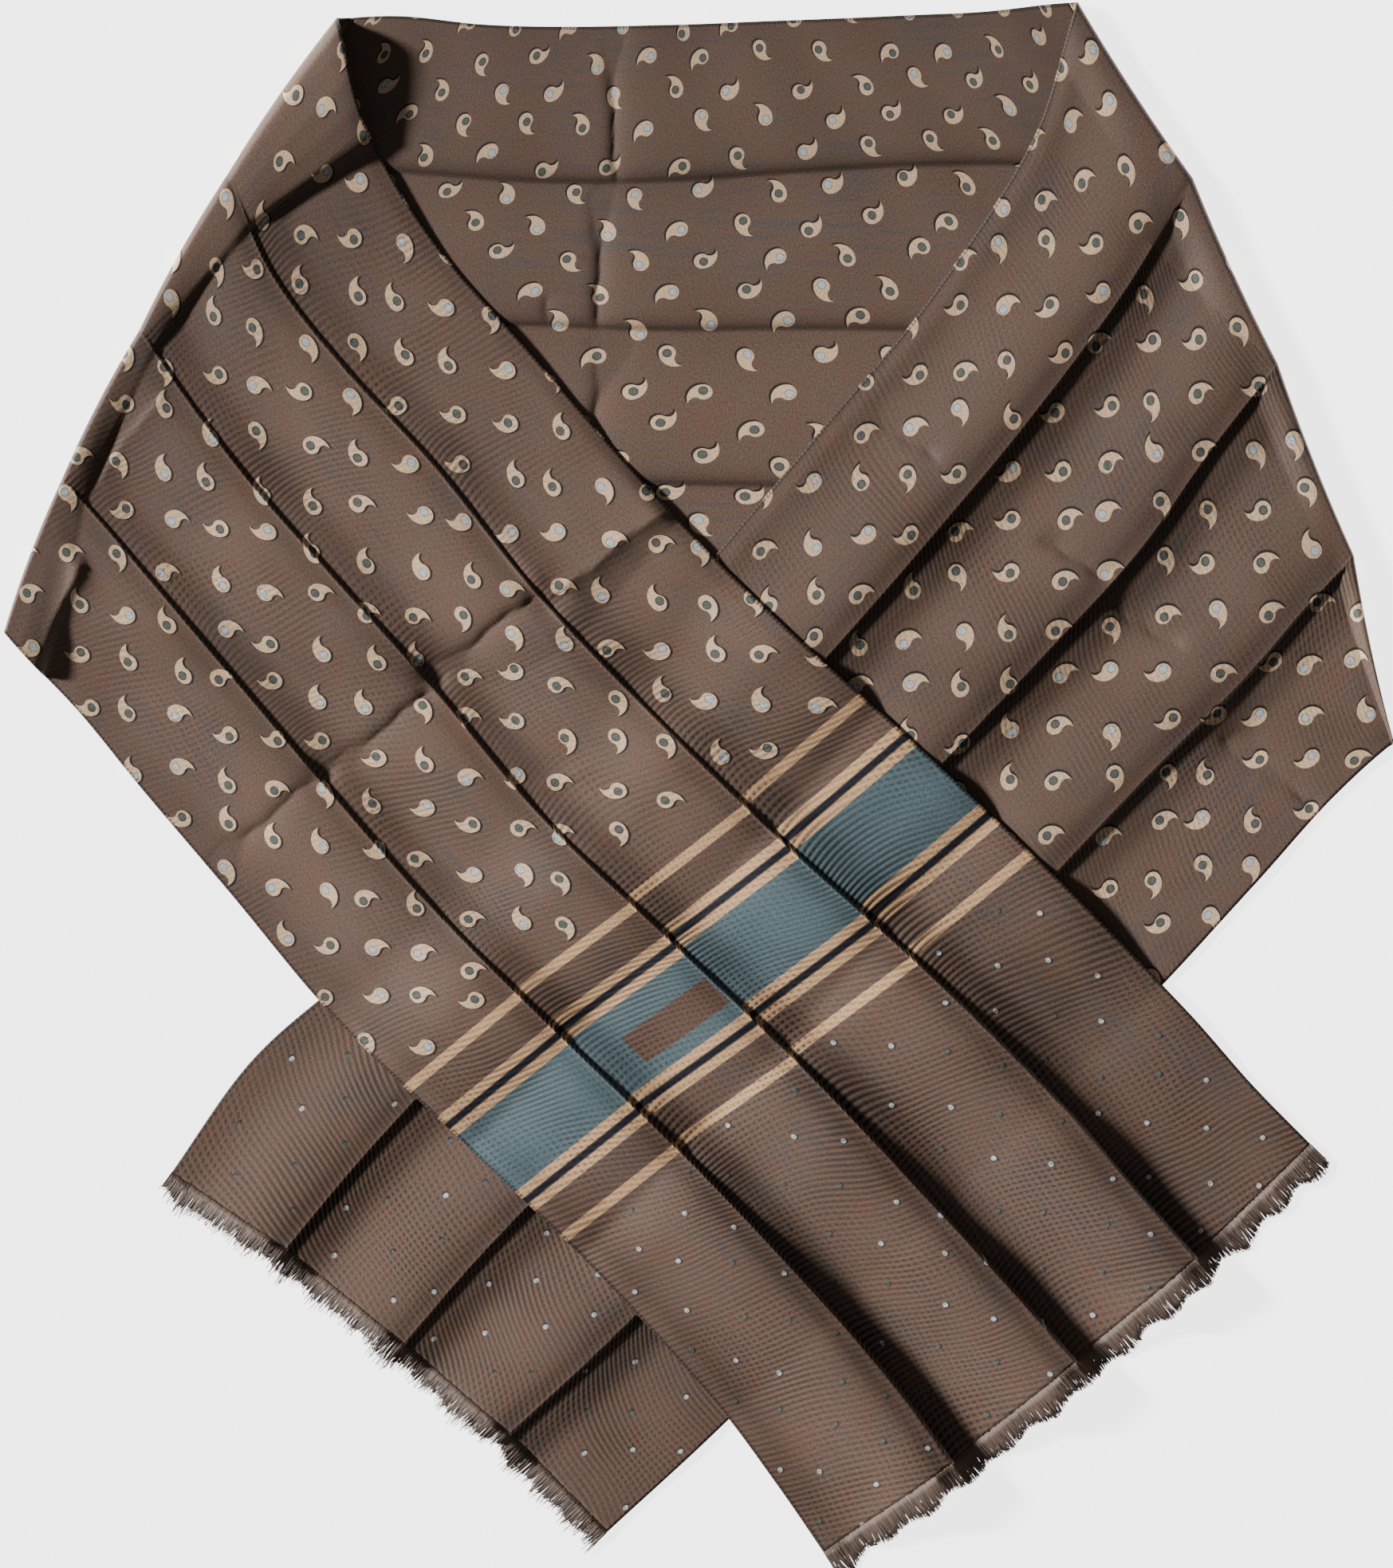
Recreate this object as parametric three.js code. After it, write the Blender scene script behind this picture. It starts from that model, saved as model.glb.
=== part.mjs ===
// A long silk shawl laid flat in a crossed wrap, with a short fringe at both ends.
//
// The cloth is one long piece, pressed lengthwise into four pleats of about 75 mm. It lies in three
// stretches. The back stretch runs from side to side. At each side the cloth turns over in a soft
// fold and runs down across the front: the under stretch comes from the right-hand fold, and the
// over stretch comes from the left-hand fold and lies on both of the others.
//
// Millimetres. X runs to the right, Y towards the back edge, Z up from the surface under the shawl.

import * as THREE from 'three';

const CLOTH = 1.0;            // thickness of the cloth's wall
const SEAM_GAP = 0.7;         // clear distance where two pieces meet edge to edge
const LAYER_GAP = 0.6;        // clear distance between a layer and the ridges of the one below
const PLEAT = 75;             // width of a pleat
const PLEAT_RUN = 1.4;        // how far past a pleat's crest its foot lies
const EDGE_SHARE = 0.12;      // lift of a stretch's free edge, as a share of a pleat's height
const FOOT_SHARE = 0.38;      // height at which a crest's side gives way to the slope at its foot
const CREST_DIP = 0.14;       // how far a pleat rounds down to its crest, as a share of its height
const DRAPE = 30;             // how far a layer takes to come down beside the one it lies on
const SLANT = 1.12;           // the stretches leave the folds askew, so a fold takes this much more
const STRIP = 3;              // width of the woven strip that holds the fringe
const CENTRE = { x: -1.1, y: 2.4 };  // shift that puts the middle of the footprint on the origin

// The locks of the fringe, for each pleat: count; share of their spacing that they fill; spread of
// their lengths; taper towards the tip; droop, and the lowest that a tip hangs; fan of directions.
const LOCK = { count: 26, share: 0.6, spread: 3, taper: 0.6, droop: 3, lowest: 0.9, fan: 0.45 };
const UNDER_FRINGE = { length: 5.5, seed: 11 };
const OVER_FRINGE = { length: 12.5, seed: 23 };
const DEGREE = Math.PI / 180;

// The sections of a stretch, a row for each. A section is a straight line across the cloth.
// at: distance along the middle crease; x, y: where the middle crease is; turn: heading, degrees;
// e0, c1, c3, e4: the first edge, first and third creases and second edge, measured from the middle;
// bow: how far both ends of the section are set off it; dip: how far the middles of its pleats are;
// rise: height of the pleats.
const BACK = [
  { at: 0, x: -265, y: 216, turn: -118.5, e0: -175.5, c1: -85, c3: 80, e4: 157, bow: 12, dip: -1.5, rise: 0 },
  { at: 60, x: -205, y: 220, turn: -113.5, e0: -160, c1: -80, c3: 81, e4: 161, bow: 2, dip: 0, rise: 1.8 },
  { at: 120, x: -145, y: 220, turn: -107, e0: -148.5, c1: -73, c3: 79, e4: 156, bow: 0, dip: 0, rise: 1.8 },
  { at: 180, x: -85, y: 218.5, turn: -100, e0: -144.7, c1: -69, c3: 76, e4: 151, bow: 0, dip: 0, rise: 1.8 },
  { at: 250, x: -15.5, y: 216, turn: -92, e0: -146, c1: -71, c3: 73.5, e4: 147.5, bow: 0, dip: 0, rise: 1.8 },
  { at: 320, x: 54.5, y: 216.5, turn: -85, e0: -148, c1: -75, c3: 76, e4: 151, bow: 0, dip: 0, rise: 1.8 },
  { at: 390, x: 124.5, y: 215, turn: -79, e0: -154, c1: -81, c3: 80.5, e4: 159, bow: 0, dip: 0, rise: 1.8 },
  { at: 460, x: 194, y: 209.5, turn: -73, e0: -167.5, c1: -89, c3: 89, e4: 172, bow: -4, dip: 0, rise: 1.8 },
  { at: 541, x: 276.5, y: 200, turn: -66.9, e0: -196, c1: -97, c3: 98, e4: 187, bow: -20, dip: -1.2, rise: 0 },
];
const UNDER = [
  { at: 0, x: 276.5, y: 200, turn: -66.9, e0: -196, c1: -97, c3: 98, e4: 187, bow: -20, dip: -1.2, rise: 0 },
  { at: 50, x: 245, y: 159.5, turn: -60, e0: -170, c1: -85, c3: 88, e4: 165.5, bow: 0, dip: 0, rise: 4.5 },
  { at: 110, x: 210, y: 110.5, turn: -52, e0: -157, c1: -82, c3: 79, e4: 149.8, bow: 0, dip: 0, rise: 7 },
  { at: 180, x: 163.5, y: 59.5, turn: -46.5, e0: -151, c1: -77.5, c3: 75.5, e4: 148.5, bow: 0, dip: 0, rise: 7 },
  { at: 260, x: 108.5, y: 1, turn: -44, e0: -146, c1: -74.5, c3: 75, e4: 149, bow: 0, dip: 0, rise: 5.5 },
  { at: 340, x: 54.5, y: -58, turn: -43, e0: -142, c1: -75, c3: 74, e4: 145, bow: 0, dip: 0, rise: 4 },
  { at: 420, x: -0.5, y: -116, turn: -42.5, e0: -139.5, c1: -74.5, c3: 74, e4: 143, bow: 0, dip: 0, rise: 4 },
  { at: 500, x: -55, y: -174.5, turn: -42.5, e0: -137, c1: -74.5, c3: 73.5, e4: 141, bow: 0, dip: 0, rise: 5 },
  { at: 570, x: -103.5, y: -225, turn: -41, e0: -143, c1: -73, c3: 72, e4: 139, bow: 0, dip: 0, rise: 7 },
  { at: 626, x: -140, y: -267, turn: -39.5, e0: -137, c1: -72, c3: 66, e4: 132, bow: -8, dip: 0, rise: 7 },
];
const OVER = [
  { at: 0, x: -265, y: 216, turn: 61.5, e0: -157, c1: -80, c3: 85, e4: 175.5, bow: -12, dip: 1.5, rise: 0 },
  { at: 40, x: -242.5, y: 182.5, turn: 58, e0: -145, c1: -72.5, c3: 73, e4: 156, bow: -3, dip: 0, rise: 3 },
  { at: 90, x: -212.5, y: 143, turn: 53, e0: -136, c1: -68, c3: 71, e4: 145, bow: 0, dip: 0, rise: 4 },
  { at: 150, x: -173, y: 98, turn: 48, e0: -135.8, c1: -68, c3: 71.5, e4: 142.5, bow: 0, dip: 0, rise: 4.5 },
  { at: 220, x: -125.5, y: 45, turn: 45, e0: -137, c1: -69.5, c3: 67, e4: 141, bow: 0, dip: 0, rise: 5 },
  { at: 300, x: -74, y: -16, turn: 43.5, e0: -137, c1: -67.5, c3: 71.5, e4: 146, bow: 0, dip: 0, rise: 5 },
  { at: 390, x: -10, y: -77.5, turn: 42.5, e0: -137.5, c1: -69, c3: 71, e4: 149, bow: 0, dip: 0, rise: 6 },
  { at: 480, x: 54.5, y: -139.5, turn: 41.5, e0: -138, c1: -69.5, c3: 74, e4: 150, bow: 0, dip: 0, rise: 8.5 },
  { at: 570, x: 116.5, y: -205, turn: 40, e0: -140, c1: -70, c3: 77, e4: 152, bow: 0, dip: 0, rise: 11 },
  { at: 620, x: 150.5, y: -242, turn: 40, e0: -145, c1: -72, c3: 75.5, e4: 151, bow: 2, dip: 0, rise: 11.5 },
  { at: 665, x: 180.5, y: -276, turn: 40, e0: -150, c1: -76, c3: 75.5, e4: 153, bow: 7, dip: 0, rise: 11.5 },
];

// How the cloth goes round its two folds, at the five lines of a stretch in turn.
// radius: of the roll at the fold; hold: how far along the stretch it stays that high;
// reach: where it has settled flat.
const LEFT_TURN = [
  { radius: 4.8, hold: 26, reach: 46 },
  { radius: 4, hold: 7, reach: 20 },
  { radius: 4, hold: 6, reach: 18 },
  { radius: 5, hold: 12, reach: 24 },
  { radius: 8, hold: 34, reach: 48 },
];
const RIGHT_TURN = [
  { radius: 3.6, hold: 5, reach: 26 },
  { radius: 3.8, hold: 5, reach: 30 },
  { radius: 4, hold: 5, reach: 30 },
  { radius: 4, hold: 5, reach: 30 },
  { radius: 4, hold: 5, reach: 30 },
];

const ROLL_ANGLES = [-90, -60, -30, 0, 30, 60, 90];
const ROLL_STEPS = 6;
const STEPS = { back: 22, under: 34, over: 40 };
const PLEAT_PLACES = [0, 0.1, 0.22, 0.45, 0.7, 0.88, 1];
const BACK_PLACES = [0, 0.15, 0.42, 0.7, 0.86, 0.94];

const smooth = (t) => {
  const s = Math.min(1, Math.max(0, t));
  return s * s * (3 - 2 * s);
};
const mix = (a, b, t) => a + (b - a) * t;

// A small random number generator with its own seed, so that the fringe is the same each time.
function seededRandom(seed) {
  let state = seed;
  return () => {
    state = (state * 16807) % 2147483647;
    return state / 2147483647;
  };
}

// One section of a stretch at any distance along it: each column runs smoothly through its rows.
function sectionAt(rows, at) {
  let i = 0;
  while (i < rows.length - 2 && at > rows[i + 1].at) i += 1;
  const [a, b] = [rows[i], rows[i + 1]];
  const before = rows[Math.max(0, i - 1)];
  const after = rows[Math.min(rows.length - 1, i + 2)];
  const span = b.at - a.at;
  const t = (at - a.at) / span;
  const section = {};
  for (const key of Object.keys(a)) {
    const slopeA = ((b[key] - before[key]) / (b.at - before.at)) * span;
    const slopeB = ((after[key] - a[key]) / (after.at - a.at)) * span;
    const bend = (2 * t ** 3 - 3 * t ** 2) * (a[key] - b[key]);
    section[key] = a[key] + bend + (t ** 3 - 2 * t ** 2 + t) * slopeA + (t ** 3 - t ** 2) * slopeB;
  }
  return section;
}

// The five lines of a section, from its first edge to its second.
const linesOf = (section) => [section.e0, section.c1, 0, section.c3, section.e4];

// Where the cloth is in plan: `across` counts the four pleats, from 0 at one edge to 4 at the other.
function place(rows, at, across) {
  const section = sectionAt(rows, at);
  const lines = linesOf(section);
  const pleat = Math.min(3, Math.max(0, Math.floor(across)));
  const g = across - pleat;
  const out = mix(lines[pleat], lines[pleat + 1], g);
  const bow = (line) => section.bow * Math.abs(line / 2 - 1) ** 3;
  const off = mix(bow(pleat), bow(pleat + 1), g) + section.dip * 4 * g * (1 - g);
  const [c, s] = [Math.cos(section.turn * DEGREE), Math.sin(section.turn * DEGREE)];
  return { x: section.x + out * c - off * s, y: section.y + out * s + off * c };
}

// How much further apart two sections a millimetre apart on the middle crease are elsewhere.
function paceAt(rows, at, across) {
  const [a, b] = [place(rows, at - 0.5, across), place(rows, at + 0.5, across)];
  return Math.hypot(b.x - a.x, b.y - a.y);
}

// The reverse: which section a plan point lies on, and where across it. Past an edge, `across`
// goes on below 0 or above 4.
function locate(rows, x, y) {
  const ends = [rows[0], rows[rows.length - 1]];
  const lead = (at) => {
    const s = sectionAt(rows, at);
    return (y - s.y) * Math.cos(s.turn * DEGREE) - (x - s.x) * Math.sin(s.turn * DEGREE);
  };
  let [low, high] = [ends[0].at, ends[1].at];
  const rising = lead(low) < lead(high);
  for (let i = 0; i < 24; i += 1) {
    const middle = (low + high) / 2;
    if (lead(middle) > 0 === rising) high = middle;
    else low = middle;
  }
  const section = sectionAt(rows, low);
  const turn = section.turn * DEGREE;
  const out = (x - section.x) * Math.cos(turn) + (y - section.y) * Math.sin(turn);
  const lines = linesOf(section);
  let pleat = 0;
  while (pleat < 3 && out > lines[pleat + 1]) pleat += 1;
  const across = pleat + (out - lines[pleat]) / (lines[pleat + 1] - lines[pleat]);
  return { at: low, across, short: lines[0] - out, past: out - lines[4] };
}

// A front pleat slopes down from the side of the crest before it, rises to its own crest, rounds
// down a little there, and drops at once.
const climb = (g, pleat) => smooth((g - 0.15) / 0.72) * (pleat === 3 ? EDGE_SHARE : 1);
function frontPleat(g, pleat) {
  const slope = pleat > 0 ? FOOT_SHARE * (1 - smooth(g / 0.3)) : 0;
  return slope + climb(g, pleat) * (1 - CREST_DIP * smooth((g - 0.86) / 0.14));
}

// A back pleat is the same one from its other face: a low ramp, a soft shoulder, a sharp valley.
const backPleat = (g) => smooth((g - 0.15) / 0.7) * (1 - smooth((g - 0.88) / 0.12));

// The columns of a stretch: where each lies across it, and its lift as a share of the pleats' rise.
function columnsOf(places, shape, run) {
  const columns = [];
  for (let pleat = 0; pleat < 4; pleat += 1) {
    const foot = pleat > 0 ? run / PLEAT : 0;
    for (const g of places) columns.push({ across: pleat + foot + g * (1 - foot), lift: shape(g, pleat) });
  }
  return columns;
}
const frontColumns = columnsOf(PLEAT_PLACES, frontPleat, PLEAT_RUN);
const backColumns = [...columnsOf(BACK_PLACES, backPleat, 0), { across: 4, lift: 0 }];

// Height of the cloth's middle on the back stretch, and the level that it gives what lies on it.
const backLength = BACK[BACK.length - 1].at;
const backRise = Math.max(...BACK.map((row) => row.rise));
const backHeight = (at, column) => CLOTH / 2 + sectionAt(BACK, at).rise * column.lift;
function restOnBack(x, y) {
  const level = CLOTH + backRise + LAYER_GAP;
  return level * (1 - smooth((locate(BACK, x, y).past + 6) / (DRAPE + 6)));
}

// The size of a fold anywhere across it.
function turnAt(turn, across) {
  const line = Math.min(3, Math.floor(across));
  const [a, b] = [turn[line], turn[line + 1]];
  const between = (key) => mix(a[key], b[key], across - line);
  const radius = between('radius');
  return { radius, inset: radius * SLANT, hold: between('hold'), reach: between('reach') };
}

// Height of a front stretch: pleats on what lies below, coming down from the top of the fold.
function frontHeight(rows, turn, rest, at, column) {
  const spot = place(rows, at, column.across);
  const flat = rest(spot.x, spot.y) + CLOTH / 2 + sectionAt(rows, at).rise * column.lift;
  const fold = turnAt(turn, column.across);
  const top = CLOTH / 2 + 2 * fold.radius;
  return mix(top, flat, smooth((at - fold.hold) / (fold.reach - fold.hold)));
}
const underHeight = (at, column) => frontHeight(UNDER, RIGHT_TURN, restOnBack, at, column);

// The level that the back and under stretches give the over stretch. A ridge carries it a little
// way on both sides of its crest, and it comes down to the next pleat's foot over a third of it.
function ridge(across) {
  const pleat = Math.min(3, Math.floor(across));
  const g = across - pleat;
  const up = climb(g + 0.07, pleat);
  return pleat > 0 ? Math.max(up, 1 - smooth((g - 0.08) / 0.34)) : up;
}
function restOnBoth(x, y) {
  const back = restOnBack(x, y);
  const spot = locate(UNDER, x, y);
  const across = Math.min(4, Math.max(0, spot.across));
  const level = back + CLOTH + LAYER_GAP + sectionAt(UNDER, spot.at).rise * ridge(across);
  const beside = Math.max(spot.short, spot.past);
  return Math.max(back, level * (1 - smooth((beside - 4) / DRAPE)));
}
const overHeight = (at, column) => frontHeight(OVER, LEFT_TURN, restOnBoth, at, column);

// A closed wall of cloth about a grid of points, as thick as the cloth all over. `finish` may
// replace the quads of the last row's end face.
function wallOf(grid, finish) {
  const [rows, columns] = [grid.length, grid[0].length];
  const points = [];
  const triangles = [];
  const quad = (a, b, c, d) => triangles.push(a, b, c, a, c, d);
  const faceNormal = (i, j) => {
    const along = new THREE.Vector3().subVectors(grid[i + 1][j + 1], grid[i][j]);
    const across = new THREE.Vector3().subVectors(grid[i][j + 1], grid[i + 1][j]);
    return along.cross(across).normalize();
  };
  for (let i = 0; i < rows; i += 1) {
    for (let j = 0; j < columns; j += 1) {
      const around = [];
      for (const [di, dj] of [[-1, -1], [-1, 0], [0, -1], [0, 0]]) {
        const inside = i + di >= 0 && i + di < rows - 1 && j + dj >= 0 && j + dj < columns - 1;
        if (inside) around.push(faceNormal(i + di, j + dj));
      }
      const normal = around.reduce((sum, n) => sum.add(n), new THREE.Vector3()).normalize();
      const lean = around.reduce((sum, n) => sum + n.dot(normal), 0) / around.length;
      normal.multiplyScalar(CLOTH / 2 / Math.max(0.7, lean));
      for (const side of [normal, normal.clone().negate()]) {
        const point = grid[i][j].clone().add(side);
        points.push(point.setZ(Math.max(0, point.z)));
      }
    }
  }
  const front = (i, j) => 2 * (i * columns + j);
  const back = (i, j) => front(i, j) + 1;
  for (let i = 0; i < rows - 1; i += 1) {
    for (let j = 0; j < columns - 1; j += 1) {
      quad(front(i, j), front(i + 1, j), front(i + 1, j + 1), front(i, j + 1));
      quad(back(i, j), back(i, j + 1), back(i + 1, j + 1), back(i + 1, j));
    }
    quad(front(i, 0), back(i, 0), back(i + 1, 0), front(i + 1, 0));
    quad(front(i, columns - 1), front(i + 1, columns - 1), back(i + 1, columns - 1), back(i, columns - 1));
  }
  const last = rows - 1;
  for (let j = 0; j < columns - 1; j += 1) {
    quad(front(0, j), front(0, j + 1), back(0, j + 1), back(0, j));
    const root = [front(last, j), back(last, j), back(last, j + 1), front(last, j + 1)];
    if (finish) finish(j, root, points, quad);
    else quad(...root);
  }
  return geometryOf(points, triangles);
}

// A BufferGeometry from points and triangles, turned so that its faces look outwards.
function geometryOf(points, triangles) {
  let volume = 0;
  for (let i = 0; i < triangles.length; i += 3) {
    const [a, b, c] = triangles.slice(i, i + 3).map((n) => points[n]);
    volume += new THREE.Vector3().crossVectors(b, c).dot(a);
  }
  if (volume < 0) triangles.reverse();
  const geometry = new THREE.BufferGeometry();
  geometry.setAttribute('position', new THREE.Float32BufferAttribute(points.flatMap((p) => p.toArray()), 3));
  geometry.setIndex(triangles);
  geometry.computeVertexNormals();
  return geometry;
}

const pointAt = (rows, at, across, z) => {
  const spot = place(rows, at, across);
  return new THREE.Vector3(spot.x, spot.y, z);
};

// The back stretch lies on the surface and stops just inside both folds.
function backStretch() {
  const grid = [];
  for (let i = 0; i <= STEPS.back; i += 1) {
    grid.push(backColumns.map((column) => {
      const left = turnAt(LEFT_TURN, 4 - column.across).inset + SEAM_GAP * SLANT;
      const right = turnAt(RIGHT_TURN, column.across).inset + SEAM_GAP * SLANT;
      const start = left / paceAt(BACK, 1, column.across);
      const stop = backLength - right / paceAt(BACK, backLength - 1, column.across);
      const at = mix(start, stop, i / STEPS.back);
      return pointAt(BACK, at, column.across, backHeight(at, column));
    }));
  }
  return wallOf(grid);
}

// A front stretch starts on the surface, beside the end of the back stretch, goes round its fold
// and then runs down to the fringe. `behind` gives the plan point on the back stretch.
function frontStretch(rows, turn, height, behind, steps) {
  const grid = ROLL_ANGLES.map((angle) => frontColumns.map((column) => {
    const { radius, inset } = turnAt(turn, column.across);
    const depth = inset * (1 - Math.cos(angle * DEGREE));
    const spot = angle < 0 ? behind(depth, column.across) : place(rows, depth, column.across);
    return new THREE.Vector3(spot.x, spot.y, CLOTH / 2 + radius + radius * Math.sin(angle * DEGREE));
  }));
  const end = rows[rows.length - 1].at - STRIP - SEAM_GAP;
  const settled = Math.max(...turn.map((line) => line.reach)) + 6;
  for (let i = 1; i <= steps; i += 1) {
    grid.push(frontColumns.map((column) => {
      const { inset } = turnAt(turn, column.across);
      const near = mix(inset, settled, i / ROLL_STEPS);
      const far = mix(settled, end, (i - ROLL_STEPS) / (steps - ROLL_STEPS));
      const at = i < ROLL_STEPS ? near : far;
      return pointAt(rows, at, column.across, height(at, column));
    }));
  }
  return wallOf(grid);
}

// The fringe: a narrow strip past the end of a stretch, with tapering locks of loose threads.
function fringe(rows, height, locks) {
  const random = seededRandom(locks.seed);
  const end = rows[rows.length - 1].at;
  const columns = [];
  for (let pleat = 0; pleat < 4; pleat += 1) {
    const foot = pleat > 0 ? PLEAT_RUN / PLEAT : 0;
    for (let n = 0; n <= 2 * LOCK.count; n += 1) {
      const part = n % 2 ? LOCK.share + (random() - 0.5) * 0.2 : 0;
      const g = (Math.floor(n / 2) + part) / LOCK.count;
      const column = { across: pleat + foot + g * (1 - foot), lift: frontPleat(g, pleat) };
      columns.push({ ...column, lock: n % 2 === 0 && n < 2 * LOCK.count });
    }
  }
  const grid = [end - STRIP, end].map((at) => columns.map((column) => (
    pointAt(rows, at, column.across, height(at, column)))));
  return wallOf(grid, (j, root, points, quad) => {
    if (!columns[j].lock) {
      quad(...root);
      return;
    }
    const middle = new THREE.Vector3().addVectors(grid[1][j], grid[1][j + 1]).multiplyScalar(0.5);
    const ahead = new THREE.Vector3().subVectors(grid[1][j], grid[0][j]).setZ(0).normalize();
    ahead.applyAxisAngle(new THREE.Vector3(0, 0, 1), (random() - 0.5) * LOCK.fan);
    const tip = middle.clone().addScaledVector(ahead, locks.length + random() * LOCK.spread);
    tip.z = Math.max(LOCK.lowest, middle.z - LOCK.droop * (0.5 + random()));
    const first = points.length;
    for (const corner of root) {
      points.push(points[corner].clone().sub(middle).multiplyScalar(LOCK.taper).add(tip));
    }
    const tips = root.map((_, m) => first + m);
    for (let m = 0; m < 4; m += 1) quad(root[m], root[(m + 1) % 4], tips[(m + 1) % 4], tips[m]);
    quad(...tips);
  });
}

const silk = new THREE.MeshStandardMaterial({ color: 0x6a574b, roughness: 0.6, metalness: 0 });
const threads = new THREE.MeshStandardMaterial({ color: 0x7d6a5c, roughness: 0.8, metalness: 0 });

const shawl = new THREE.Group();
const add = (name, geometry, material) => {
  const mesh = new THREE.Mesh(geometry, material.clone());
  mesh.name = name;
  mesh.position.set(CENTRE.x, CENTRE.y, 0);
  shawl.add(mesh);
};
const behindLeft = (depth, across) => place(BACK, depth / paceAt(BACK, 1, 4 - across), 4 - across);
const behindRight = (depth, across) => (
  place(BACK, backLength - depth / paceAt(BACK, backLength - 1, across), across));
add('back_stretch', backStretch(), silk);
add('under_stretch', frontStretch(UNDER, RIGHT_TURN, underHeight, behindRight, STEPS.under), silk);
add('over_stretch', frontStretch(OVER, LEFT_TURN, overHeight, behindLeft, STEPS.over), silk);
add('under_fringe', fringe(UNDER, underHeight, UNDER_FRINGE), threads);
add('over_fringe', fringe(OVER, overHeight, OVER_FRINGE), threads);

export default shawl;
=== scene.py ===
import math
import random

import bpy
import numpy as np
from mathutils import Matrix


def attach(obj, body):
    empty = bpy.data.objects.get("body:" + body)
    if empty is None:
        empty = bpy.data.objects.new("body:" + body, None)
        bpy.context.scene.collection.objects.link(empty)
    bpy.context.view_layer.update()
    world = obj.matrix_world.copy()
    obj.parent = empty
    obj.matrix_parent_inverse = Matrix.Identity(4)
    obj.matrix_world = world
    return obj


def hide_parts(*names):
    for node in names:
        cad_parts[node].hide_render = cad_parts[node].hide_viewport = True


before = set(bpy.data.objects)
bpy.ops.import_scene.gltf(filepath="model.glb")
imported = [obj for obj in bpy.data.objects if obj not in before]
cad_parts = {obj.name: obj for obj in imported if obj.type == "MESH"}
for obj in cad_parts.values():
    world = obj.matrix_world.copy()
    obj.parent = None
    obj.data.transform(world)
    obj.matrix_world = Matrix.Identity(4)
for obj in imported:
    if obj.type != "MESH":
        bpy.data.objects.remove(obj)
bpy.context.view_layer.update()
bpy.ops.object.select_all(action="DESELECT")

# ---------------------------------------------------------------------------------------------
# Back stretch: the part of the band behind the neck, 0.54 m from fold to fold, face up on the
# surface. It is a single layer of printed silk twill, and its pressed pleats show as sharp valleys.
# ---------------------------------------------------------------------------------------------
MM = 0.001
CLOTH = 1.0          # the level that each layer takes up, mm
SILK = 0.55          # thickness of the silk itself with its nap, mm
SEAM_GAP = 0.02      # the band goes on round its folds, so its pieces all but touch there
LAYER_GAP = 0.2      # air between one layer and the next
SHIFT = (-1.1, 2.4)  # puts the middle of the footprint on the origin
CUT_WIDTH = 330.0    # the flat width of the band
PLEAT_CUT = CUT_WIDTH / 4

# Sections of the cloth, a row for each: distance along the middle crease, where that crease is,
# heading of the section, its other four lines, bow of its ends, dip of its pleats, pleat height.
COLUMNS = ("at", "x", "y", "turn", "e0", "c1", "c3", "e4", "bow", "dip", "rise")
BACK = [
    (0, -265, 216, -118.5, -175.5, -85, 80, 157, 12, -1.5, 0),
    (60, -205, 220, -113.5, -160, -80, 81, 161, 2, 0, 2.1),
    (120, -145, 220, -107, -148.5, -73, 79, 156, 0, 0, 2.1),
    (180, -85, 218.5, -100, -144.7, -69, 76, 151, 0, 0, 2.1),
    (250, -15.5, 216, -92, -146, -71, 73.5, 147.5, 0, 0, 2.1),
    (320, 54.5, 216.5, -85, -148, -75, 76, 151, 0, 0, 2.1),
    (390, 124.5, 215, -79, -154, -81, 80.5, 159, 0, 0, 2.1),
    (460, 194, 209.5, -73, -167.5, -89, 89, 172, -4, 0, 2.1),
    (541, 276.5, 200, -66.9, -196, -97, 98, 187, -20, -1.2, 0),
]
BACK_LENGTH = 541
BACK_RISE = 2.1


def smooth(t):
    s = np.clip(t, 0, 1)
    return s * s * (3 - 2 * s)


def mix(a, b, t):
    return a + (b - a) * t


def section_at(rows, at):
    """The section at any distance along a stretch; each column runs smoothly through its rows."""
    table = np.array(rows, float)
    at = np.asarray(at, float)
    i = np.clip(np.searchsorted(table[:, 0], at, side="left") - 1, 0, len(table) - 2)
    before, a = table[np.maximum(i - 1, 0)], table[i]
    b, after = table[i + 1], table[np.minimum(i + 2, len(table) - 1)]
    span = b[..., :1] - a[..., :1]
    t = (at[..., None] - a[..., :1]) / span
    slope_a = (b - before) / (b[..., :1] - before[..., :1]) * span
    slope_b = (after - a) / (after[..., :1] - a[..., :1]) * span
    bend = (2 * t**3 - 3 * t**2) * (a - b)
    value = a + bend + (t**3 - 2 * t**2 + t) * slope_a + (t**3 - t**2) * slope_b
    return dict(zip(COLUMNS, np.moveaxis(value, -1, 0)))


def lines_of(section):
    return np.stack([section["e0"], section["c1"], 0 * section["c1"], section["c3"], section["e4"]], -1)


def pick(lines, line):
    return np.take_along_axis(lines, line[..., None], -1)[..., 0]


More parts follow.
